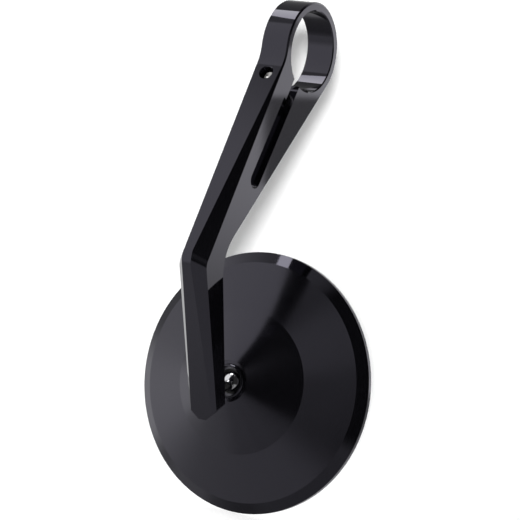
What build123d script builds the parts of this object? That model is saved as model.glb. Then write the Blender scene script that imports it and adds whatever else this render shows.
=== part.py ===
from build123d import *
from math import acos, asin, cos, degrees, radians, sin, sqrt
import os

# Motorcycle bar end mirror. Millimetres.
# Origin at the centre of the clamp bore, +X along the handlebar, +Z up.
# The stem hangs below the bar and the back of the mirror head faces -Y.

# Clamp ring
bore_diameter = 30.0
ring_wall = 3.3
stem_width = 11.6
edge_side = 0.5
bore_edge = 0.4
same_radius = 0.001

# Arm, from the ring down to the bend, and leg, from the bend down to the ball stud
arm_angle = 25.3
arm_front_offset = 14.0
arm_length = 97.4
arm_rear_angle = 37.8
neck_radius = 14.0
leg_angle = 26.1
leg_rear_angle = 18.5
leg_length = 64.0
leg_end_depth = 7.25
leg_corner_cut = 4.2
bend_outer_radius = 7.0
bend_inner_radius = 16.0

# Facets along the front edges: half widths left at the bend and at the foot, and depth for each mm across
bend_half_width = 1.7
foot_half_width = 4.7
arm_facet_slope = 1.4
leg_facet_slope = 1.0

# Clamp slot, a lip beside its mouth, and the clamp screw across it
slot_angle = 24.0
slot_offset = 2.6
slot_width = 6.5
slot_length = 56.9
slot_lip_distance = 23.7
slot_lip = 1.6
screw_diameter = 5.0
screw_length = 20.0
screw_head_diameter = 8.5
screw_head_height = 5.0
screw_key_width = 4.0
screw_key_depth = 2.5
screw_bore_wall = 1.8
screw_recess = 2.8
screw_clearance = 0.5
screw_hole_edge = 0.25
screw_head_clearance = 0.35

# Mirror head: radii and heights above the rim plane of the turned housing
rim_wall = 1.7
rim_edge = 2.0
rim_edge_chamfer = 0.3
bevel_width = 4.0
bevel_height = 2.2
crease_radius = 26.9
crease_height = 9.0
boss_radius = 7.7
boss_height = 17.54
groove_height = 17.1
mouth_lip_radius = 6.2
mouth_lip_height = 18.3
mouth_lip_chamfer = 0.45
mouth_radius = 5.6
shell_wall = 2.2
hub_radius = 12.0
hub_base = 4.5

# Ball joint: the stud's distance up from the foot of the leg, and the ball's distance out from the leg
stud_foot_distance = 7.05
ball_stand_off = 14.8
ball_diameter = 10.0
ball_height = 13.0
ball_clearance = 0.1
lip_radius = 4.6
liner_thickness = 0.75
liner_front_angle = 54.0
liner_rear_angle = 85.0
cup_radius = 6.5
cup_bore_clearance = 0.1
cup_front_drop = 1.6
cup_floor = 1.4
neck_diameter = 3.4
collar_across_flats = 7.0
collar_length = 3.0
spot_face_diameter = 9.0
spot_face_depth = 1.0
stud_thread = 5.0
stud_thread_length = 4.6
stud_hole_spare = 0.4
thread_clearance = 0.05

# Spring stack and retainer behind the cup
spring_thickness = 0.5
spring_bore_radius = 2.6
spring_radius = 6.2
spring_gap = 0.05
retainer_radius = 11.6
retainer_thickness = 1.6
retainer_circle_radius = 9.2
retainer_screw_count = 3
retainer_start_angle = 90.0
retainer_screw_diameter = 2.5
retainer_screw_length = 6.0
retainer_head_diameter = 4.4
retainer_head_height = 1.5
retainer_slot_width = 0.7
retainer_slot_depth = 0.7
retainer_hole_clearance = 0.3
retainer_edge = 0.3

# Glass and its adhesive pad
glass_diameter = 94.0
glass_thickness = 2.0
glass_curve = 1200.0
glass_gap = 0.3
pad_thickness = 0.8
pad_inset = 0.5
ledge_width = 4.0

# Derived sizes
bore_radius = bore_diameter / 2
ring_radius = bore_radius + ring_wall
half_width = stem_width / 2
facet_span = stem_width * arm_facet_slope * 2
ball_radius = ball_diameter / 2
glass_radius = glass_diameter / 2
rim_radius = glass_radius + glass_gap + rim_wall
bevel_radius = rim_radius - bevel_width
pocket_radius = glass_radius - ledge_width


def lean(angle):
    """Unit direction in the YZ plane that points down and leans towards -Y by the angle."""
    return Vector(-sin(radians(angle)), -cos(radians(angle)))


def square(angle):
    """Unit direction in the YZ plane, square to lean(angle), that points to the rear."""
    return Vector(cos(radians(angle)), -sin(radians(angle)))


def meet(start, direction, other, normal):
    """Point where a line meets the line through another point with the given normal."""
    reach = (other - start).dot(normal) / direction.dot(normal)
    return start + direction * reach


def solid(flat, across=0):
    """A YZ point or direction as a point of the model, at a place across the stem."""
    return Vector(across, flat.X, flat.Y)


# Corners of the stem's side view
arm_front = square(arm_angle) * -arm_front_offset
bend_front = arm_front + lean(arm_angle) * arm_length
neck_corner = arm_front + lean(arm_angle) * sqrt(ring_radius**2 - arm_front_offset**2)
neck_end = sqrt((ring_radius + neck_radius) ** 2 - (arm_front_offset + neck_radius) ** 2)
ring_rear = square(arm_rear_angle) * ring_radius
arm_facet_start = arm_front + lean(arm_angle) * neck_end
leg_front_end = bend_front + lean(-leg_angle) * leg_length
leg_rear_end = leg_front_end + square(-leg_angle) * leg_end_depth
bend_rear = meet(ring_rear, lean(arm_rear_angle), leg_rear_end, square(-leg_rear_angle))


def facet_plane(start, start_half_width, inward, slope, side):
    """Plane of a front facet, from its narrow end at start to its widest at the bend, facing outwards."""
    first = solid(start, side * start_half_width)
    along = solid(bend_front, side * bend_half_width) - first
    outward = along.cross(solid(inward * slope, side))
    return Plane(origin=first, x_dir=along, z_dir=outward * (side if outward.X > 0 else -side))


def round_edges(piece, radius):
    """Circular edges of a piece that have the given radius."""
    arcs = piece.edges().filter_by(GeomType.CIRCLE)
    return arcs.filter_by(lambda edge: abs(edge.radius - radius) < same_radius)


# Planes of the clamp slot and the clamp screw
slot_plane = Plane(
    origin=solid(square(slot_angle) * -slot_offset), x_dir=solid(lean(slot_angle) * -1), z_dir=(1, 0, 0)
)
screw_distance = bore_radius + screw_bore_wall + screw_diameter / 2
screw_foot = lean(arm_angle) * screw_distance
screw_head_seat = screw_length + screw_recess - arm_front_offset
screw_plane = Plane(
    origin=solid(screw_foot + square(arm_angle) * screw_head_seat),
    x_dir=(1, 0, 0),
    z_dir=solid(square(arm_angle)),
)

# Axes of the mirror head and of the ball stud
leg_face = leg_rear_end - lean(-leg_rear_angle) * stud_foot_distance
stud_way = square(-leg_rear_angle)
ball_centre = leg_face + stud_way * ball_stand_off
ball_y, ball_z = ball_centre.X, ball_centre.Y
rim_plane_y = ball_y + ball_height
mirror_centre = (0, rim_plane_y, ball_z)
mirror_axis = Axis(mirror_centre, (0, -1, 0))
head_plane = Plane(origin=mirror_centre, x_dir=(1, 0, 0), z_dir=(0, 0, -1))
stud_seat = ball_stand_off + spot_face_depth
stud_plane = Plane(origin=(0, ball_y, ball_z), x_dir=(1, 0, 0), z_dir=solid(stud_way * -1))
stud_end = stud_seat + stud_thread_length

# Stem: clamp ring, arm and leg, milled from one bar
with BuildPart() as stem:
    with BuildSketch(Plane.YZ) as side_view:
        with BuildLine():
            ThreePointArc(ring_rear, (0, ring_radius), neck_corner)
            Polyline(neck_corner, bend_front, leg_front_end, leg_rear_end, bend_rear, ring_rear)
        make_face()
        for corner, radius in (
            (neck_corner, neck_radius),
            (bend_front, bend_outer_radius),
            (bend_rear, bend_inner_radius),
        ):
            fillet(side_view.vertices().sort_by_distance(corner)[0], radius)
    extrude(amount=half_width, both=True)
    for end in (0, -1):
        side_face = stem.faces().sort_by(Axis.X)[end]
        chamfer(side_face.outer_wire().edges(), edge_side * arm_facet_slope, edge_side, reference=side_face)
    for side in (1, -1):
        with BuildPart(mode=Mode.PRIVATE) as facet_cut:
            for start, start_half_width, inward, slope, length in (
                (arm_facet_start, half_width - edge_side, square(arm_angle), arm_facet_slope, arm_length),
                (leg_front_end, foot_half_width, square(-leg_angle), leg_facet_slope, leg_length),
            ):
                with BuildSketch(facet_plane(start, start_half_width, inward, slope, side)):
                    Rectangle(length + facet_span, facet_span, align=(Align.MIN, Align.CENTER))
                extrude(amount=stem_width)
            crease = facet_cut.edges().sort_by_distance(solid(bend_front, side * bend_half_width))[0]
            fillet(crease, bend_outer_radius)
        add(facet_cut.part, mode=Mode.SUBTRACT)

    # Cut corners at the foot of the leg
    foot_plane = Plane(
        origin=solid(leg_front_end), x_dir=(1, 0, 0), z_dir=solid(square(-leg_angle))
    )
    with BuildSketch(foot_plane):
        with Locations((half_width, 0), (-half_width, 0)):
            Rectangle(leg_corner_cut * sqrt(2), leg_corner_cut * sqrt(2), rotation=45)
    extrude(amount=leg_end_depth * 2, both=True, mode=Mode.SUBTRACT)

    # Bore and slot of the clamp
    with BuildSketch(Plane.YZ):
        Circle(bore_radius)
    extrude(amount=half_width, both=True, mode=Mode.SUBTRACT)
    chamfer(round_edges(stem, bore_radius), bore_edge)
    with BuildSketch(slot_plane):
        with Locations((-slot_length, 0)):
            Circle(slot_width / 2)
            Rectangle(slot_length - slot_lip_distance, slot_width, align=(Align.MIN, Align.CENTER))
        with Locations((-slot_lip_distance, -slot_width / 2)):
            Rectangle(slot_lip_distance, slot_width - slot_lip, align=(Align.MIN, Align.MIN))
    extrude(amount=half_width, both=True, mode=Mode.SUBTRACT)

    # Clamp screw hole: tapped in the front jaw, clear in the rear jaw, with a counterbore
    with BuildSketch(screw_plane):
        Circle(screw_diameter / 2 + thread_clearance)
    extrude(amount=-screw_length - screw_recess, mode=Mode.SUBTRACT)
    screw_mouth = solid(screw_foot + square(arm_angle) * -arm_front_offset)
    tapped_edges = round_edges(stem, screw_diameter / 2 + thread_clearance)
    chamfer(tapped_edges.sort_by_distance(screw_mouth)[0], screw_hole_edge)
    with BuildSketch(screw_plane):
        Circle((screw_diameter + screw_clearance) / 2)
    extrude(amount=-screw_head_seat - slot_offset, mode=Mode.SUBTRACT)
    with BuildSketch(screw_plane):
        Circle(screw_head_diameter / 2 + screw_head_clearance)
    extrude(amount=screw_head_height * 2, mode=Mode.SUBTRACT)

    # Spot face and blind tapped hole for the ball stud
    with BuildSketch(stud_plane.offset(stud_seat)):
        Circle(spot_face_diameter / 2)
    extrude(amount=-spot_face_depth * 2, mode=Mode.SUBTRACT)
    with BuildSketch(stud_plane.offset(stud_end + stud_hole_spare)):
        Circle(stud_thread / 2 + thread_clearance)
    extrude(amount=-stud_thread_length - stud_hole_spare, mode=Mode.SUBTRACT)
stem.part.label = "stem"

# Clamp screw: socket head, entered from the rear jaw
with BuildPart() as clamp_screw:
    with BuildSketch(screw_plane):
        Circle(screw_head_diameter / 2)
    extrude(amount=screw_head_height)
    with BuildSketch(screw_plane):
        Circle(screw_diameter / 2)
    extrude(amount=-screw_length)
    with BuildSketch(screw_plane.offset(screw_head_height)):
        RegularPolygon(screw_key_width / 2, 6, major_radius=False)
    extrude(amount=-screw_key_depth, mode=Mode.SUBTRACT)
clamp_screw.part.label = "clamp_screw"

# Ball stud: ball, neck, spanner collar and thread in one turned piece
with BuildPart(stud_plane) as ball_stud:
    Sphere(ball_radius)
    with BuildSketch(stud_plane):
        Circle(neck_diameter / 2)
    extrude(amount=stud_seat)
    with BuildSketch(stud_plane.offset(stud_seat - collar_length)):
        RegularPolygon(collar_across_flats / 2, 6, major_radius=False)
    extrude(amount=collar_length)
    with BuildSketch(stud_plane.offset(stud_seat)):
        Circle(stud_thread / 2)
    extrude(amount=stud_thread_length)
ball_stud.part.label = "ball_stud"

# Spherical seats of the joint, from the ball outwards
liner_inner = ball_radius + ball_clearance
liner_outer = liner_inner + liner_thickness
seat_radius = liner_outer + ball_clearance
cone_slope = (boss_height - crease_height) / (crease_radius - boss_radius)
cup_bore = cup_radius + cup_bore_clearance
cup_base = ball_height - liner_inner - cup_floor
spring_rise = (cup_base - hub_base) / 2 - spring_gap - spring_thickness
retainer_plane = Plane(
    origin=(0, rim_plane_y - hub_base, ball_z), x_dir=(1, 0, 0), z_dir=(0, -1, 0)
)

# Seats of the glass: its edge is flush with the rim
pad_front = glass_thickness - rim_edge + pad_thickness
glass_curve_centre = sqrt(glass_curve**2 - glass_radius**2) - rim_edge

# Mirror housing: turned shell of two cones with a bevelled rim, a hub and a ball socket
with BuildPart() as mirror_housing:
    with BuildSketch(head_plane):
        with BuildLine():
            seat = CenterArc((0, ball_height), seat_radius, 0, degrees(acos(lip_radius / seat_radius)))
            Polyline(
                seat @ 1,
                (mouth_radius, mouth_lip_height),
                (mouth_lip_radius - mouth_lip_chamfer, mouth_lip_height),
                (mouth_lip_radius, mouth_lip_height - mouth_lip_chamfer),
                (mouth_lip_radius, groove_height),
                (boss_radius, groove_height),
                (boss_radius, boss_height),
                (crease_radius, crease_height),
                (bevel_radius, bevel_height),
                (rim_radius, 0),
                (rim_radius, rim_edge_chamfer - rim_edge),
                (rim_radius - rim_edge_chamfer, -rim_edge),
                (glass_radius + glass_gap, -rim_edge),
                (glass_radius + glass_gap, pad_front),
                (pocket_radius, pad_front),
                (crease_radius, crease_height - shell_wall),
                (hub_radius, crease_height - shell_wall + cone_slope * (crease_radius - hub_radius)),
                (hub_radius, hub_base),
                (cup_bore, hub_base),
                (cup_bore, ball_height),
                seat @ 0,
            )
        make_face()
    revolve(axis=mirror_axis)
    with BuildSketch(retainer_plane):
        with PolarLocations(retainer_circle_radius, retainer_screw_count, retainer_start_angle):
            Circle(retainer_screw_diameter / 2 + thread_clearance)
    extrude(amount=retainer_screw_length - retainer_thickness + thread_clearance, mode=Mode.SUBTRACT)
mirror_housing.part.label = "mirror_housing"

# Socket liner: plastic shell between the front of the ball and the housing
with BuildPart() as socket_liner:
    with BuildSketch(head_plane):
        with BuildLine():
            sweep_angle = liner_rear_angle - liner_front_angle
            inner = CenterArc((0, ball_height), liner_inner, 90 - liner_rear_angle, sweep_angle)
            outer = CenterArc((0, ball_height), liner_outer, 90 - liner_rear_angle, sweep_angle)
            Line(inner @ 0, outer @ 0)
            Line(inner @ 1, outer @ 1)
        make_face()
    revolve(axis=mirror_axis)
socket_liner.part.label = "socket_liner"

# Pressure cup: plastic seat behind the ball, pushed forward by the springs
with BuildPart() as pressure_cup:
    with BuildSketch(head_plane):
        with BuildLine():
            hollow_end = degrees(acos(cup_front_drop / liner_inner))
            hollow = CenterArc((0, ball_height), liner_inner, -90, hollow_end)
            Polyline(
                hollow @ 1,
                (cup_radius, ball_height - cup_front_drop),
                (cup_radius, cup_base),
                (0, cup_base),
                hollow @ 0,
            )
        make_face()
    revolve(axis=mirror_axis)
pressure_cup.part.label = "pressure_cup"


def disc_spring(base, rise):
    """Profile of a disc spring whose outer edge rests at base and whose inner edge is higher by rise."""
    with BuildSketch(head_plane) as profile:
        Polygon(
            (spring_bore_radius, base + rise),
            (spring_radius, base),
            (spring_radius, base + spring_thickness),
            (spring_bore_radius, base + rise + spring_thickness),
            align=None,
        )
    return profile.sketch


# Disc springs: a pair stacked edge to edge between the retainer and the cup
with BuildPart() as rear_disc_spring:
    revolve(disc_spring(hub_base, spring_rise), axis=mirror_axis)
rear_disc_spring.part.label = "rear_disc_spring"

with BuildPart() as front_disc_spring:
    revolve(disc_spring(cup_base - spring_gap - spring_thickness, -spring_rise), axis=mirror_axis)
front_disc_spring.part.label = "front_disc_spring"

# Retainer plate: closes the hub and carries the springs
with BuildPart() as retainer_plate:
    with BuildSketch(retainer_plane):
        Circle(retainer_radius)
        with PolarLocations(retainer_circle_radius, retainer_screw_count, retainer_start_angle):
            Circle((retainer_screw_diameter + retainer_hole_clearance) / 2, mode=Mode.SUBTRACT)
    extrude(amount=-retainer_thickness)
    chamfer(retainer_plate.faces().sort_by(Axis.Y)[-1].outer_wire().edges(), retainer_edge)
retainer_plate.part.label = "retainer_plate"

# Retainer screws: slotted cheese heads
retainer_head_plane = retainer_plane.offset(-retainer_thickness)
with BuildPart() as retainer_screws:
    with BuildSketch(retainer_head_plane):
        with PolarLocations(retainer_circle_radius, retainer_screw_count, retainer_start_angle):
            Circle(retainer_head_diameter / 2)
    extrude(amount=-retainer_head_height)
    with BuildSketch(retainer_head_plane):
        with PolarLocations(retainer_circle_radius, retainer_screw_count, retainer_start_angle):
            Circle(retainer_screw_diameter / 2)
    extrude(amount=retainer_screw_length)
    with BuildSketch(retainer_head_plane.offset(-retainer_head_height)):
        with PolarLocations(retainer_circle_radius, retainer_screw_count, retainer_start_angle):
            Rectangle(retainer_head_diameter, retainer_slot_width)
    extrude(amount=retainer_slot_depth, mode=Mode.SUBTRACT)
retainer_screws.part.label = "retainer_screws"

# Mirror glass: bent to a gentle convex face, flush with the rim at its edge
with BuildPart() as mirror_glass:
    with BuildSketch(head_plane):
        with BuildLine():
            glass_sweep = degrees(asin(glass_radius / glass_curve))
            face = CenterArc((0, glass_curve_centre), glass_curve, -90, glass_sweep)
            back = CenterArc((0, glass_curve_centre + glass_thickness), glass_curve, -90, glass_sweep)
            Line(face @ 0, back @ 0)
            Line(face @ 1, back @ 1)
        make_face()
    revolve(axis=mirror_axis)
mirror_glass.part.label = "mirror_glass"

# Adhesive pad: fills between the back of the glass and the ledge of the housing
with BuildPart() as adhesive_pad:
    with BuildSketch(head_plane):
        with BuildLine():
            pad_sweep = degrees(asin((glass_radius - pad_inset) / glass_curve))
            bond = CenterArc((0, glass_curve_centre + glass_thickness), glass_curve, -90, pad_sweep)
            Polyline(bond @ 1, (glass_radius - pad_inset, pad_front), (0, pad_front), bond @ 0)
        make_face()
    revolve(axis=mirror_axis)
adhesive_pad.part.label = "adhesive_pad"

os.makedirs("parts", exist_ok=True)
for piece in (
    stem,
    clamp_screw,
    ball_stud,
    socket_liner,
    pressure_cup,
    rear_disc_spring,
    front_disc_spring,
    retainer_plate,
    retainer_screws,
    mirror_housing,
    adhesive_pad,
    mirror_glass,
):
    export_step(piece.part, f"parts/{piece.part.label}.step")
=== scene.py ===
import math

import bmesh
import bpy
import numpy as np
from mathutils import Matrix, Vector


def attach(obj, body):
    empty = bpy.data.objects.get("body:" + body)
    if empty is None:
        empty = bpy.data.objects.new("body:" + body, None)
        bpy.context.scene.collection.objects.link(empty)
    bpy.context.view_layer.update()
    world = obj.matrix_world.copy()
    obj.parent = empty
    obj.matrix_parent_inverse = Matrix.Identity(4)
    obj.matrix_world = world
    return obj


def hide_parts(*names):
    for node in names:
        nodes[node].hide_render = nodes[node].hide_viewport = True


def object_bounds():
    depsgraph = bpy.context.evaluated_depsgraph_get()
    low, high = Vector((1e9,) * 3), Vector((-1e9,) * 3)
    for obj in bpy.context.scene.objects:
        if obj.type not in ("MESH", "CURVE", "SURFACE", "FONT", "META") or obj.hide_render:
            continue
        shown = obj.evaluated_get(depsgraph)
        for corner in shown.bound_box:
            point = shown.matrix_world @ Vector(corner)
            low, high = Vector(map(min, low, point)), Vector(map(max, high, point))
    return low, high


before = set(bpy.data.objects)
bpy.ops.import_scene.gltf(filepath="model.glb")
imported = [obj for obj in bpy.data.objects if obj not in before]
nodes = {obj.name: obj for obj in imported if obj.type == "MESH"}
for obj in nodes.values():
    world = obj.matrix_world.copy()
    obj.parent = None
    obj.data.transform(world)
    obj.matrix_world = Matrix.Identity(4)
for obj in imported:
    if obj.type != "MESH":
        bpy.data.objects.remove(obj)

cad_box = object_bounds()

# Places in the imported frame, in metres
BALL_CENTRE = np.array([0.0, -0.0078168, -0.1249770])
RIM_CENTRE = np.array([0.0, 0.0051832, -0.1249770])
SCREW_SEAT = np.array([0.0, -0.0002921, -0.0212095])
TO_FRONT = np.array([0.0, -1.0, 0.0])
ARM_ANGLE = math.radians(25.3)
SCREW_AXIS = np.array([0.0, math.cos(ARM_ANGLE), -math.sin(ARM_ANGLE)])
LEG_ANGLE = math.radians(18.5)
STUD_AXIS = np.array([0.0, -math.cos(LEG_ANGLE), -math.sin(LEG_ANGLE)])
ACROSS = np.array([1.0, 0.0, 0.0])
BEVEL_RADIUS = 0.045


# Meshes

def grid_faces(rows, columns, first=0):
    """Quads of a grid that is open along its rows and closed round its columns."""
    row, column = np.meshgrid(np.arange(rows - 1), np.arange(columns), indexing="ij")
    beside = (column + 1) % columns
    corners = (row * columns + column, row * columns + beside,
               (row + 1) * columns + beside, (row + 1) * columns + column)
    return first + np.stack(corners, -1).reshape(-1, 4)


def round_grid(radii, heights, turns, origin, axis):
    """Points of a body round an axis: origin + height * axis + radius * (cos turn * X + sin turn * other).

    radii is a grid of one row for each height and one column for each turn.
    """
    other = np.cross(axis, ACROSS)
    spoke = np.cos(turns)[:, None] * ACROSS + np.sin(turns)[:, None] * other
    return origin + heights[..., None] * axis + radii[..., None] * spoke


def full_turn(count):
    """Angles of one turn, evenly spaced and without the last."""
    return np.linspace(0, 2 * math.pi, count, endpoint=False)


def piece(name, shells, finish, body, replaced=(), smooth_angle=30):
    """One object from several grids of points, each closed round its columns, with outward faces."""
    points = np.concatenate([shell.reshape(-1, 3) for shell in shells])
    starts = np.cumsum([0] + [shell.shape[0] * shell.shape[1] for shell in shells])
    faces = np.concatenate(
        [grid_faces(shell.shape[0], shell.shape[1], start) for shell, start in zip(shells, starts)]
    )
    mesh = bpy.data.meshes.new(name)
    mesh.from_pydata(points.tolist(), [], faces.tolist())
    mesh.materials.append(finish)
    made = bpy.data.objects.new(name, mesh)
    bpy.context.scene.collection.objects.link(made)
    close_and_shade(made, smooth_angle)
    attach(made, body)
    if replaced:
        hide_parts(*replaced)


def close_and_shade(made, smooth_angle):
    """Merges the points that meet at poles, turns the faces outwards and shades smooth up to an angle."""
    work = bmesh.new()
    work.from_mesh(made.data)
    bmesh.ops.remove_doubles(work, verts=work.verts, dist=1e-7)
    bmesh.ops.dissolve_degenerate(work, edges=work.edges, dist=1e-8)
    bmesh.ops.recalc_face_normals(work, faces=work.faces)
    for face in work.faces:
        face.smooth = True
    for edge in work.edges:
        edge.smooth = len(edge.link_faces) < 2 or edge.calc_face_angle() < math.radians(smooth_angle)
    work.to_mesh(made.data)
    work.free()


# Finishes

ANODISE_COLOUR = (0.005, 0.0048, 0.0065)
ANODISE_TINT = (0.84, 0.81, 1.0, 1)
ANODISE_IOR = 1.66
MARK_HEIGHT = 0.00002
RING_PITCH = 0.00022
CUT_EDGE = 0.0003
MOULD_SPREAD = 0.08
MOULD_GRAIN = 0.00003


def finish(name, colour, metallic, roughness, ior):
    """A material with one shader, and that shader."""
    made = bpy.data.materials.new(name)
    made.use_nodes = True
    shader = made.node_tree.nodes["Principled BSDF"]
    shader.inputs["Base Color"].default_value = (*colour, 1)
    shader.inputs["Metallic"].default_value = metallic
    shader.inputs["Roughness"].default_value = roughness
    shader.inputs["IOR"].default_value = ior
    return made, shader


def add(tree, kind, **values):
    """A node with its properties set."""
    node = tree.nodes.new(kind)
    for key, value in values.items():
        setattr(node, key, value)
    return node


def feed(tree, node, *inputs):
    """Links sockets, or writes values, into a node's inputs in order, and gives its first output."""
    for socket, value in zip(node.inputs, inputs):
        if isinstance(value, bpy.types.NodeSocket):
            tree.links.new(value, socket)
        elif value is not None:
            socket.default_value = value
    return node.outputs[0]


def sums(tree, operation, *inputs):
    """Output of a Math node."""
    return feed(tree, add(tree, "ShaderNodeMath", operation=operation), *inputs)


def vectors(tree, operation, *inputs):
    """Output of a Vector Math node: the number for a dot product or a length, and the vector otherwise."""
    node = add(tree, "ShaderNodeVectorMath", operation=operation)
    feed(tree, node, *inputs)
    return node.outputs["Value" if operation in ("DOT_PRODUCT", "LENGTH") else "Vector"]


def mapped(tree, value, low, high, to_low, to_high, smooth=False):
    """A value carried from one range to another, held at its ends."""
    kind = "SMOOTHSTEP" if smooth else "LINEAR"
    node = add(tree, "ShaderNodeMapRange", interpolation_type=kind)
    return feed(tree, node, value, low, high, to_low, to_high)


def noise(tree, place, scale, detail=2.0):
    """Noise value at a place."""
    node = add(tree, "ShaderNodeTexNoise")
    tree.links.new(place, node.inputs["Vector"])
    node.inputs["Scale"].default_value = scale
    node.inputs["Detail"].default_value = detail
    return node.outputs[0]


def bump(tree, shader, height, strength, distance):
    """Bump from a height on a shader's normal."""
    node = add(tree, "ShaderNodeBump")
    node.inputs["Strength"].default_value = strength
    node.inputs["Distance"].default_value = distance
    tree.links.new(height, node.inputs["Height"])
    tree.links.new(node.outputs["Normal"], shader.inputs["Normal"])


def object_place(tree):
    """Place on the object, in metres."""
    return add(tree, "ShaderNodeTexCoord").outputs["Object"]


def vary_gloss(tree, shader, pattern, roughness, spread):
    """Roughness that follows a pattern, by a spread to each side."""
    low, high = roughness - spread, roughness + spread
    tree.links.new(mapped(tree, pattern, 0.3, 0.7, low, high), shader.inputs["Roughness"])


def milled_anodise():
    """Black anodised aluminium with a fine milled grain that runs along the stem."""
    made, shader = finish("milled_black_anodise", ANODISE_COLOUR, 0.0, 0.07, ANODISE_IOR)
    tree = made.node_tree
    place = object_place(tree)
    stretch = add(tree, "ShaderNodeMapping")
    stretch.inputs["Rotation"].default_value = (ARM_ANGLE, 0, 0)
    stretch.inputs["Scale"].default_value = (1.0, 1.0, 0.02)
    grain = noise(tree, feed(tree, stretch, place), 9000.0)
    cloud = noise(tree, place, 160.0, 4.0)
    mixed = sums(tree, "MULTIPLY_ADD", grain, 0.4, cloud)
    tree.links.new(mapped(tree, mixed, 0.4, 1.0, 0.018, 0.034), shader.inputs["Roughness"])
    bump(tree, shader, grain, 0.008, MARK_HEIGHT)
    shader.inputs["Specular Tint"].default_value = ANODISE_TINT
    return made


def turned_anodise():
    """Turned black anodise: fine rings round the mirror axis, and a brighter cut on the rim bevel."""
    made, shader = finish("turned_black_anodise", ANODISE_COLOUR, 0.0, 0.17, ANODISE_IOR)
    tree = made.node_tree
    place = object_place(tree)
    from_axis = vectors(tree, "MULTIPLY", vectors(tree, "SUBTRACT", place, tuple(RIM_CENTRE)), (1, 0, 1))
    spoke = vectors(tree, "NORMALIZE", from_axis)
    radius = vectors(tree, "LENGTH", from_axis)
    wander = noise(tree, place, 90.0, 3.0)
    rings = sums(tree, "SINE", sums(tree, "MULTIPLY", radius, 2 * math.pi / RING_PITCH))
    along = add(tree, "ShaderNodeCombineXYZ")
    tool_marks = noise(tree, feed(tree, along, radius), 2600.0, 3.0)
    height = sums(tree, "MULTIPLY_ADD", rings, 0.2, tool_marks)
    bump(tree, shader, height, 0.05, MARK_HEIGHT)
    tone = sums(tree, "MULTIPLY_ADD", tool_marks, 0.5, wander)
    bright_cut = mapped(tree, radius, BEVEL_RADIUS - CUT_EDGE, BEVEL_RADIUS + CUT_EDGE, 1.0, 0.3)
    gloss = sums(tree, "MULTIPLY", mapped(tree, tone, 0.4, 1.1, 0.12, 0.17), bright_cut)
    tree.links.new(gloss, shader.inputs["Roughness"])
    tree.links.new(vectors(tree, "CROSS_PRODUCT", spoke, tuple(TO_FRONT)), shader.inputs["Tangent"])
    shader.inputs["Anisotropic"].default_value = 0.7
    shader.inputs["Specular Tint"].default_value = ANODISE_TINT
    return made


def bright_metal(name, colour, roughness, spread, scale):
    """Bare or plated metal whose gloss varies a little over the surface."""
    made, shader = finish(name, colour, 1.0, roughness, 1.5)
    tree = made.node_tree
    vary_gloss(tree, shader, noise(tree, object_place(tree), scale, 4.0), roughness, spread)
    return made


def moulded(name, colour, roughness):
    """Moulded plastic or rubber with a fine grain."""
    made, shader = finish(name, colour, 0.0, roughness, 1.5)
    tree = made.node_tree
    grain = noise(tree, object_place(tree), 3500.0, 3.0)
    vary_gloss(tree, shader, grain, roughness, MOULD_SPREAD)
    bump(tree, shader, grain, 0.15, MOULD_GRAIN)
    return made


stem_black = milled_anodise()
housing_black = turned_anodise()
chrome = bright_metal("chrome_plate", (0.74, 0.74, 0.76), 0.05, 0.02, 400.0)
stainless = bright_metal("stainless_steel", (0.56, 0.55, 0.54), 0.24, 0.06, 1500.0)
silvered = bright_metal("silvered_glass", (0.86, 0.89, 0.89), 0.012, 0.008, 60.0)
nylon = moulded("black_nylon", (0.018, 0.018, 0.018), 0.5)
rubber = moulded("pad_foam", (0.03, 0.03, 0.03), 0.8)


def dress(node, made):
    """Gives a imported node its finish."""
    mesh = nodes[node].data
    mesh.materials.clear()
    mesh.materials.append(made)


for node, made in (
    ("stem", stem_black),
    ("mirror_housing", housing_black),
    ("socket_liner", nylon),
    ("pressure_cup", nylon),
    ("rear_disc_spring", stainless),
    ("front_disc_spring", stainless),
    ("retainer_plate", stainless),
    ("retainer_screws", stainless),
    ("adhesive_pad", rubber),
):
    dress(node, made)


# Clamp screw

def thread_grid(low, high, outer, pitch, depth, turns, steps, origin, axis):
    """Screw thread: radius = outer - depth * ridge, where ridge is a triangle wave of height / pitch - turn.

    The wave fades to the core over one pitch at each end.
    """
    heights = np.linspace(low, high, steps)[:, None] + 0 * turns[None, :]
    phase = (heights / pitch - turns[None, :] / (2 * math.pi)) % 1.0
    ridge = np.clip(np.abs(2 * phase - 1) * 1.25 - 0.125, 0, 1)
    fade = np.clip(np.minimum(heights - low, high - heights) / pitch, 0, 1)
    return round_grid(outer - depth * (1 - (1 - ridge) * fade), heights, turns, origin, axis)


def profile_grid(profile, turns, origin, axis):
    """Turned body: one ring of constant radius for each (radius, height) of the profile."""
    radii, heights = np.array(profile).T
    spread = np.zeros(len(turns))
    return round_grid(radii[:, None] + spread, heights[:, None] + spread, turns, origin, axis)


def hexagon(turns, flat_radius):
    """Radius of a hexagon at each turn: flat_radius / cos of the angle from the nearest flat's middle."""
    sector = math.pi / 3
    return flat_radius / np.cos((turns + sector / 2) % sector - sector / 2)


SCREW_RADIUS = 0.0025
SCREW_PITCH = 0.0008
SCREW_DEPTH = 0.00045
SCREW_LENGTH = 0.020
THREAD_TOP = -0.004
SHOULDER_LOW = -0.0035
TIP_DISH = 0.0004
TIP_CHAMFER = 0.0006
HEAD_RADIUS = 0.00425
HEAD_HEIGHT = 0.005
KEY_FLAT = 0.002
KEY_DEPTH = 0.0025
KNURLS = 36
KNURL_DEPTH = 0.00012


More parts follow.
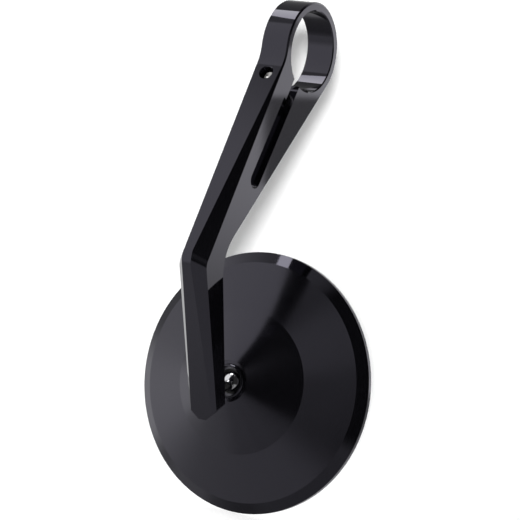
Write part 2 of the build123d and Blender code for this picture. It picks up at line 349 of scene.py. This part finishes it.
def clamp_screw_shells():
    """Threaded shank with a dished tip, and a knurled head whose rings pass from a circle to a hexagon.

    The dish is deepest at the axis: depth = dish * (1 - (radius / rim radius) squared).
    """
    turns = full_turn(144)
    shank_end = -SCREW_LENGTH
    core = SCREW_RADIUS - SCREW_DEPTH
    thread = thread_grid(shank_end + TIP_CHAMFER, THREAD_TOP, SCREW_RADIUS, SCREW_PITCH, SCREW_DEPTH,
                         turns, 260, SCREW_SEAT, SCREW_AXIS)
    dish = np.linspace(0, 1, 14)
    tip_rows = np.stack([core * 0.9 * dish, shank_end + TIP_DISH * (1 - dish**2)], -1).tolist()
    tip = profile_grid(tip_rows + [(core, shank_end + TIP_CHAMFER)], turns, SCREW_SEAT, SCREW_AXIS)
    shoulder_rows = [(core, THREAD_TOP), (SCREW_RADIUS, SHOULDER_LOW), (SCREW_RADIUS, 0)]
    shoulder = profile_grid(shoulder_rows, turns, SCREW_SEAT, SCREW_AXIS)
    rows = [  # radius, height, share of knurl, share of hexagon
        (SCREW_RADIUS, 0, 0, 0),
        (HEAD_RADIUS - 0.0002, 0, 0, 0),
        (HEAD_RADIUS, 0.0002, 0, 0),
        (HEAD_RADIUS, 0.0005, 1, 0),
        (HEAD_RADIUS, HEAD_HEIGHT - 0.0009, 1, 0),
        (HEAD_RADIUS, HEAD_HEIGHT - 0.0006, 0, 0),
        (HEAD_RADIUS - 0.0004, HEAD_HEIGHT, 0, 0),
        (KEY_FLAT * 1.2, HEAD_HEIGHT, 0, 0),
        (KEY_FLAT, HEAD_HEIGHT - 0.0002, 0, 1),
        (KEY_FLAT, HEAD_HEIGHT - KEY_DEPTH, 0, 1),
        (0, HEAD_HEIGHT - KEY_DEPTH - 0.0004, 0, 0),
    ]
    radius, height, knurl, hexed = (np.array(column)[:, None] for column in zip(*rows))
    round_radius = radius - knurl * KNURL_DEPTH * (1 - np.cos(KNURLS * turns)) / 2
    radii = round_radius * (1 - hexed) + hexagon(turns, KEY_FLAT) * hexed
    head = round_grid(radii, height + 0 * turns, turns, SCREW_SEAT, SCREW_AXIS)
    return [tip, thread, shoulder, head]


piece("clamp_screw_threaded", clamp_screw_shells(), stainless, "stem", ["clamp_screw"])


# Ball stud

BALL_RADIUS = 0.005
NECK_RADIUS = 0.0017
NECK_FLARE = 0.0004
NECK_RISE = 0.0006
NECK_FOOT = 0.0003
COLLAR_LOW = 0.0128
COLLAR_HIGH = 0.0158
COLLAR_FLAT = 0.0035
COLLAR_CHAMFER = 0.0004
STUD_END = 0.0204
STUD_THREAD_RADIUS = 0.0025


def ball_stud_shells():
    """Ball and neck on one profile, a collar that is a hexagon cut by a cone at both ends, and the thread."""
    turns = full_turn(120)
    neck_angle = math.asin((NECK_RADIUS + NECK_FLARE) / BALL_RADIUS)
    sweep = np.linspace(math.pi, neck_angle, 60)
    ball = np.stack([BALL_RADIUS * np.sin(sweep), BALL_RADIUS * np.cos(sweep)], -1)
    ball[0, 0] = 0
    flare = np.linspace(0, math.pi / 2, 8)
    root_height = BALL_RADIUS * math.cos(neck_angle)
    root = np.stack([NECK_RADIUS + NECK_FLARE * (1 - np.sin(flare)),
                     root_height + NECK_RISE * (1 - np.cos(flare))], -1)
    neck = [(NECK_RADIUS, COLLAR_LOW - NECK_RISE), (NECK_RADIUS + NECK_FOOT, COLLAR_LOW)]
    turned = profile_grid(np.concatenate([ball, root[1:], neck]), turns, BALL_CENTRE, STUD_AXIS)
    heights = np.array([COLLAR_LOW, COLLAR_LOW, COLLAR_LOW + COLLAR_CHAMFER, COLLAR_HIGH - COLLAR_CHAMFER,
                        COLLAR_HIGH, COLLAR_HIGH])[:, None]
    corner = COLLAR_FLAT / math.cos(math.pi / 6)
    rim = COLLAR_FLAT * 1.01
    limits = np.array([NECK_RADIUS, rim, corner, corner, rim, NECK_RADIUS])[:, None]
    collar = round_grid(np.minimum(hexagon(turns, COLLAR_FLAT), limits), heights + 0 * turns, turns,
                        BALL_CENTRE, STUD_AXIS)
    thread = thread_grid(COLLAR_HIGH, STUD_END, STUD_THREAD_RADIUS, SCREW_PITCH, SCREW_DEPTH, turns, 90,
                         BALL_CENTRE, STUD_AXIS)
    core = STUD_THREAD_RADIUS - SCREW_DEPTH
    end = profile_grid([(core, STUD_END), (0, STUD_END)], turns, BALL_CENTRE, STUD_AXIS)
    return [turned, collar, thread, end]


piece("ball_stud_turned", ball_stud_shells(), chrome, "stem", ["ball_stud"])


# Mirror glass

GLASS_RADIUS = 0.047
GLASS_THICKNESS = 0.002
GLASS_CURVE = 1.2
GLASS_EDGE = -0.002
EDGE_GRIND = 0.0006
BACK_GRIND = 0.0002


def glass_shells():
    """Convex disc, ground at its edge: height = edge - (sagitta at the edge - sagitta at the radius)."""
    turns = full_turn(256)
    radii = np.linspace(0, GLASS_RADIUS - EDGE_GRIND, 48)
    edge_sag = GLASS_CURVE - math.sqrt(GLASS_CURVE**2 - GLASS_RADIUS**2)
    sag = GLASS_CURVE - np.sqrt(GLASS_CURVE**2 - radii**2)
    face = np.stack([radii, GLASS_EDGE - edge_sag + sag], -1)
    back = np.stack([radii, face[:, 1] + GLASS_THICKNESS], -1)[::-1]
    edge = [(GLASS_RADIUS, GLASS_EDGE + EDGE_GRIND),
            (GLASS_RADIUS, GLASS_EDGE + GLASS_THICKNESS - BACK_GRIND)]
    return [profile_grid(np.concatenate([face, edge, back]), turns, RIM_CENTRE, TO_FRONT)]


piece("mirror_glass_ground", glass_shells(), silvered, "mirror_head", ["mirror_glass"])


# Socket lip

LIP_BORE = 0.00559
LIP_SPREAD = 0.0009
LIP_BASE = 0.0171
LIP_RISE = 0.00125


def socket_lip_shells():
    """Rounded lip of the socket mouth: a wall at the bore, then a quarter ellipse down to the groove."""
    turns = full_turn(160)
    sweep = np.linspace(0, math.pi / 2, 24)
    flank = np.stack([LIP_BORE + LIP_SPREAD * np.sin(sweep), LIP_BASE + LIP_RISE * np.cos(sweep)], -1)
    foot = [(LIP_BORE, LIP_BASE)]
    return [profile_grid(np.concatenate([foot, flank, foot]), turns, RIM_CENTRE, TO_FRONT)]


piece("socket_lip", socket_lip_shells(), stem_black, "mirror_head")


# Studio

def heading(azimuth, elevation):
    """Unit direction: azimuth 0 points to -Y and 90 to +X, elevation is above the horizon, in degrees."""
    turn, rise = math.radians(azimuth), math.radians(elevation)
    return Vector((math.sin(turn) * math.cos(rise), -math.cos(turn) * math.cos(rise), math.sin(rise)))


def facing(azimuth, elevation, roll):
    """Direction to a panel's middle, and its own right and up, turned by the roll."""
    middle = heading(azimuth, elevation)
    flat = middle.cross(Vector((0, 0, 1))).normalized()
    rise = flat.cross(middle)
    turn = math.radians(roll)
    right = flat * math.cos(turn) + rise * math.sin(turn)
    up = rise * math.cos(turn) - flat * math.sin(turn)
    return middle, right, up


STUDIO_BASE = 0.022
SQUARE, ROUND = "square", "round"
STUDIO_PANELS = [  # shape, azimuth, elevation, roll, half width, half height, soft edge, level
    (SQUARE, -115, 62, 0, 50, 24, 10, 0.22),
    (SQUARE, -118, 8, 0, 55, 30, 12, 0.38),
    (SQUARE, 88, 2, 0, 13, 15, 9, 0.24),
    (SQUARE, -10, 51, 0, 8, 5, 2, 0.15),
    (ROUND, -19, 0, 0, 34.1, 34.1, 1.0, 0.26),
    (ROUND, -6.5, 11.5, 0, 17.1, 17.1, 2.0, 0.46),
    (SQUARE, -47, 4, 0, 29, 42, 3, 0.90),
    (SQUARE, -80.5, 45.4, -40, 60, 12, 3, 0.36),
    (SQUARE, -138, 0, 0, 14, 24, 4, 0.90),
    (SQUARE, -97, -12, 0, 25, 13, 7, 1.22),
    (ROUND, 0, -90, 0, 64, 64, 8, 0.50),
    (ROUND, 0, -90, 0, 45, 45, 2.5, 0.31),
    (ROUND, 0, -90, 0, 40, 40, 4, 0.18),
    (ROUND, -5, -52, 0, 11, 11, 3, 0.32),
    (SQUARE, 50, -59, 0, 38, 31, 4, 0.26),
    (SQUARE, 95, -32, 0, 36, 16, 6, 0.42),
    (SQUARE, 160, 5, 0, 40, 40, 10, 1.40),
    (SQUARE, 160, 5, 0, 10.4, 3, 0.5, 1.75),
    (SQUARE, 150, -22, 0, 40, 22, 2.5, 0.55),
    (SQUARE, 149.16, 3.07, -8, 0.82, 1.18, 0.12, 0.32),
    (SQUARE, 148.5, 5.86, 0, 0.27, 0.36, 0.12, 0.20),
    (SQUARE, 184, -3, 0, 26, 34, 3, 0.98),
    (SQUARE, 170, -6, 32, 5, 22, 3, 0.72),
    (SQUARE, 186, -2, 32, 5, 22, 4, 0.80),
]


def studio_world():
    """White to the camera and to rays through glass. To all other rays, soft panels round a dark room.

    A panel's share at a direction is a smooth step of the angle to its middle, across times up, or all round
    for a round one. Each panel covers those before it: light + share * (level - light).
    """
    world = bpy.data.worlds.new("studio")
    bpy.context.scene.world = world
    world.use_nodes = True
    tree = world.node_tree
    tree.nodes.clear()
    sight = add(tree, "ShaderNodeTexCoord").outputs["Generated"]
    light = add(tree, "ShaderNodeValue").outputs[0]
    light.default_value = STUDIO_BASE
    for shape, azimuth, elevation, roll, half_width, half_height, soft, level in STUDIO_PANELS:
        middle, flat, rise = facing(azimuth, elevation, roll)
        ahead = vectors(tree, "DOT_PRODUCT", sight, tuple(middle))
        if shape == ROUND:
            spans = [(sums(tree, "ARCCOSINE", ahead), half_width)]
        else:
            spans = []
            for axis, half in ((flat, half_width), (rise, half_height)):
                aside = sums(tree, "ABSOLUTE", vectors(tree, "DOT_PRODUCT", sight, tuple(axis)))
                spans.append((sums(tree, "ARCTAN2", aside, ahead), half))
        share = 1.0
        for angle, half in spans:
            edge = mapped(tree, angle, math.radians(half - soft), math.radians(half + soft), 1, 0, True)
            share = sums(tree, "MULTIPLY", edge, share)
        light = sums(tree, "MULTIPLY_ADD", share, sums(tree, "SUBTRACT", level, light), light)
    path = add(tree, "ShaderNodeLightPath").outputs
    seen = sums(tree, "MAXIMUM", path["Is Camera Ray"], path["Is Transmission Ray"])
    strength = sums(tree, "MAXIMUM", seen, light)
    shader = add(tree, "ShaderNodeBackground")
    shader.inputs["Color"].default_value = (1, 1, 1, 1)
    tree.links.new(strength, shader.inputs["Strength"])
    tree.links.new(shader.outputs[0], add(tree, "ShaderNodeOutputWorld").inputs["Surface"])


def softbox(name, middle, width, depth, radiance):
    """Rectangular lamp that faces the floor: power = radiance * pi * area."""
    lamp = bpy.data.lights.new(name, "AREA")
    lamp.shape = "RECTANGLE"
    lamp.size, lamp.size_y = width, depth
    lamp.energy = radiance * math.pi * width * depth
    made = bpy.data.objects.new(name, lamp)
    bpy.context.scene.collection.objects.link(made)
    made.location = middle
    made.visible_camera = False


def pale_surface(name, corners, glow, slant):
    """Plain white sheet of the stage: it glows for the camera alone, and shadows fall on its diffuse share.

    Seen from behind, or more aslant than the given share, it lets the white world through.
    """
    made = bpy.data.materials.new("pale_" + name)
    made.use_nodes = True
    tree = made.node_tree
    shader = tree.nodes["Principled BSDF"]
    shader.inputs["Base Color"].default_value = (0.8, 0.8, 0.8, 1)
    shader.inputs["Roughness"].default_value = 0.9
    shader.inputs["Emission Color"].default_value = (1, 1, 1, 1)
    seen = add(tree, "ShaderNodeLightPath").outputs["Is Camera Ray"]
    tree.links.new(sums(tree, "MULTIPLY", seen, glow), shader.inputs["Emission Strength"])
    aslant = add(tree, "ShaderNodeLayerWeight").outputs["Facing"]
    hidden = sums(tree, "MAXIMUM", add(tree, "ShaderNodeNewGeometry").outputs["Backfacing"],
                  mapped(tree, aslant, slant, slant * 2.5, 0, 1))
    blend = add(tree, "ShaderNodeMixShader")
    feed(tree, blend, hidden, shader.outputs[0], add(tree, "ShaderNodeBsdfTransparent").outputs[0])
    tree.links.new(blend.outputs[0], tree.nodes["Material Output"].inputs["Surface"])
    mesh = bpy.data.meshes.new(name)
    mesh.from_pydata(corners, [], [(0, 1, 2, 3)])
    mesh.materials.append(made)
    sheet = bpy.data.objects.new(name, mesh)
    bpy.context.scene.collection.objects.link(sheet)
    sheet.visible_glossy = False
    return sheet


def sheet_corners(middle, right, up, reach):
    """Corners of a square sheet that faces the cross product of its right and its up."""
    signs = ((-1, -1), (1, -1), (1, 1), (-1, 1))
    return [tuple(middle + reach * (across * right + rise * up)) for across, rise in signs]


CAMERA_TURN = Matrix((
    (0.84384, -0.13789, 0.51857),
    (0.51236, -0.08008, -0.85503),
    (0.15943, 0.98720, 0.00308),
))
FLOOR_DROP = 0.0005
FLOOR_REACH = 3.0
FLOOR_GLOW = 0.72
FLOOR_SLANT = 1.0
BACKDROP_GAP = 0.070
BACKDROP_REACH = 1.5
BACKDROP_GLOW = 0.16
BACKDROP_SLANT = 0.02

studio_world()
softbox("overhead_softbox", (-1.014, -0.864, 2.4), 1.07, 2.11, 3.8)
floor_middle = Vector((0, 0, cad_box[0].z - FLOOR_DROP))
floor_corners = sheet_corners(floor_middle, Vector((1, 0, 0)), Vector((0, 1, 0)), FLOOR_REACH)
pale_surface("floor", floor_corners, FLOOR_GLOW, FLOOR_SLANT)

# Backdrop close behind the part, which goes see-through from other sides, with the lamp that shades it alone
right, up, to_camera = CAMERA_TURN.col
backdrop_corners = sheet_corners(-BACKDROP_GAP * to_camera, right, up, BACKDROP_REACH)
backdrop = pale_surface("backdrop", backdrop_corners, BACKDROP_GLOW, BACKDROP_SLANT)
backdrop.visible_diffuse = False
backdrop.visible_shadow = False
shade = bpy.data.lights.new("shadow_lamp", "SUN")
shade.energy = 3.1
shade.angle = math.radians(6.5)
shadow_lamp = bpy.data.objects.new("shadow_lamp", shade)
bpy.context.scene.collection.objects.link(shadow_lamp)
shadow_lamp.rotation_euler = heading(28.4, 1.6).to_track_quat("Z", "Y").to_euler()
lit = bpy.data.collections.new("backdrop_only")
lit.objects.link(backdrop)
shadow_lamp.light_linking.receiver_collection = lit

# Camera at the photograph's viewing angle
camera_data = bpy.data.cameras.new("camera")
camera_data.lens = 149.54
camera_data.sensor_width = 36.0
camera_data.clip_start, camera_data.clip_end = 0.05, 20.0
camera = bpy.data.objects.new("camera", camera_data)
bpy.context.scene.collection.objects.link(camera)
camera.matrix_world = Matrix.Translation((0.414854, -0.688076, -0.076835)) @ CAMERA_TURN.to_4x4()
bpy.context.scene.camera = camera
bpy.context.scene.view_settings.view_transform = "Standard"
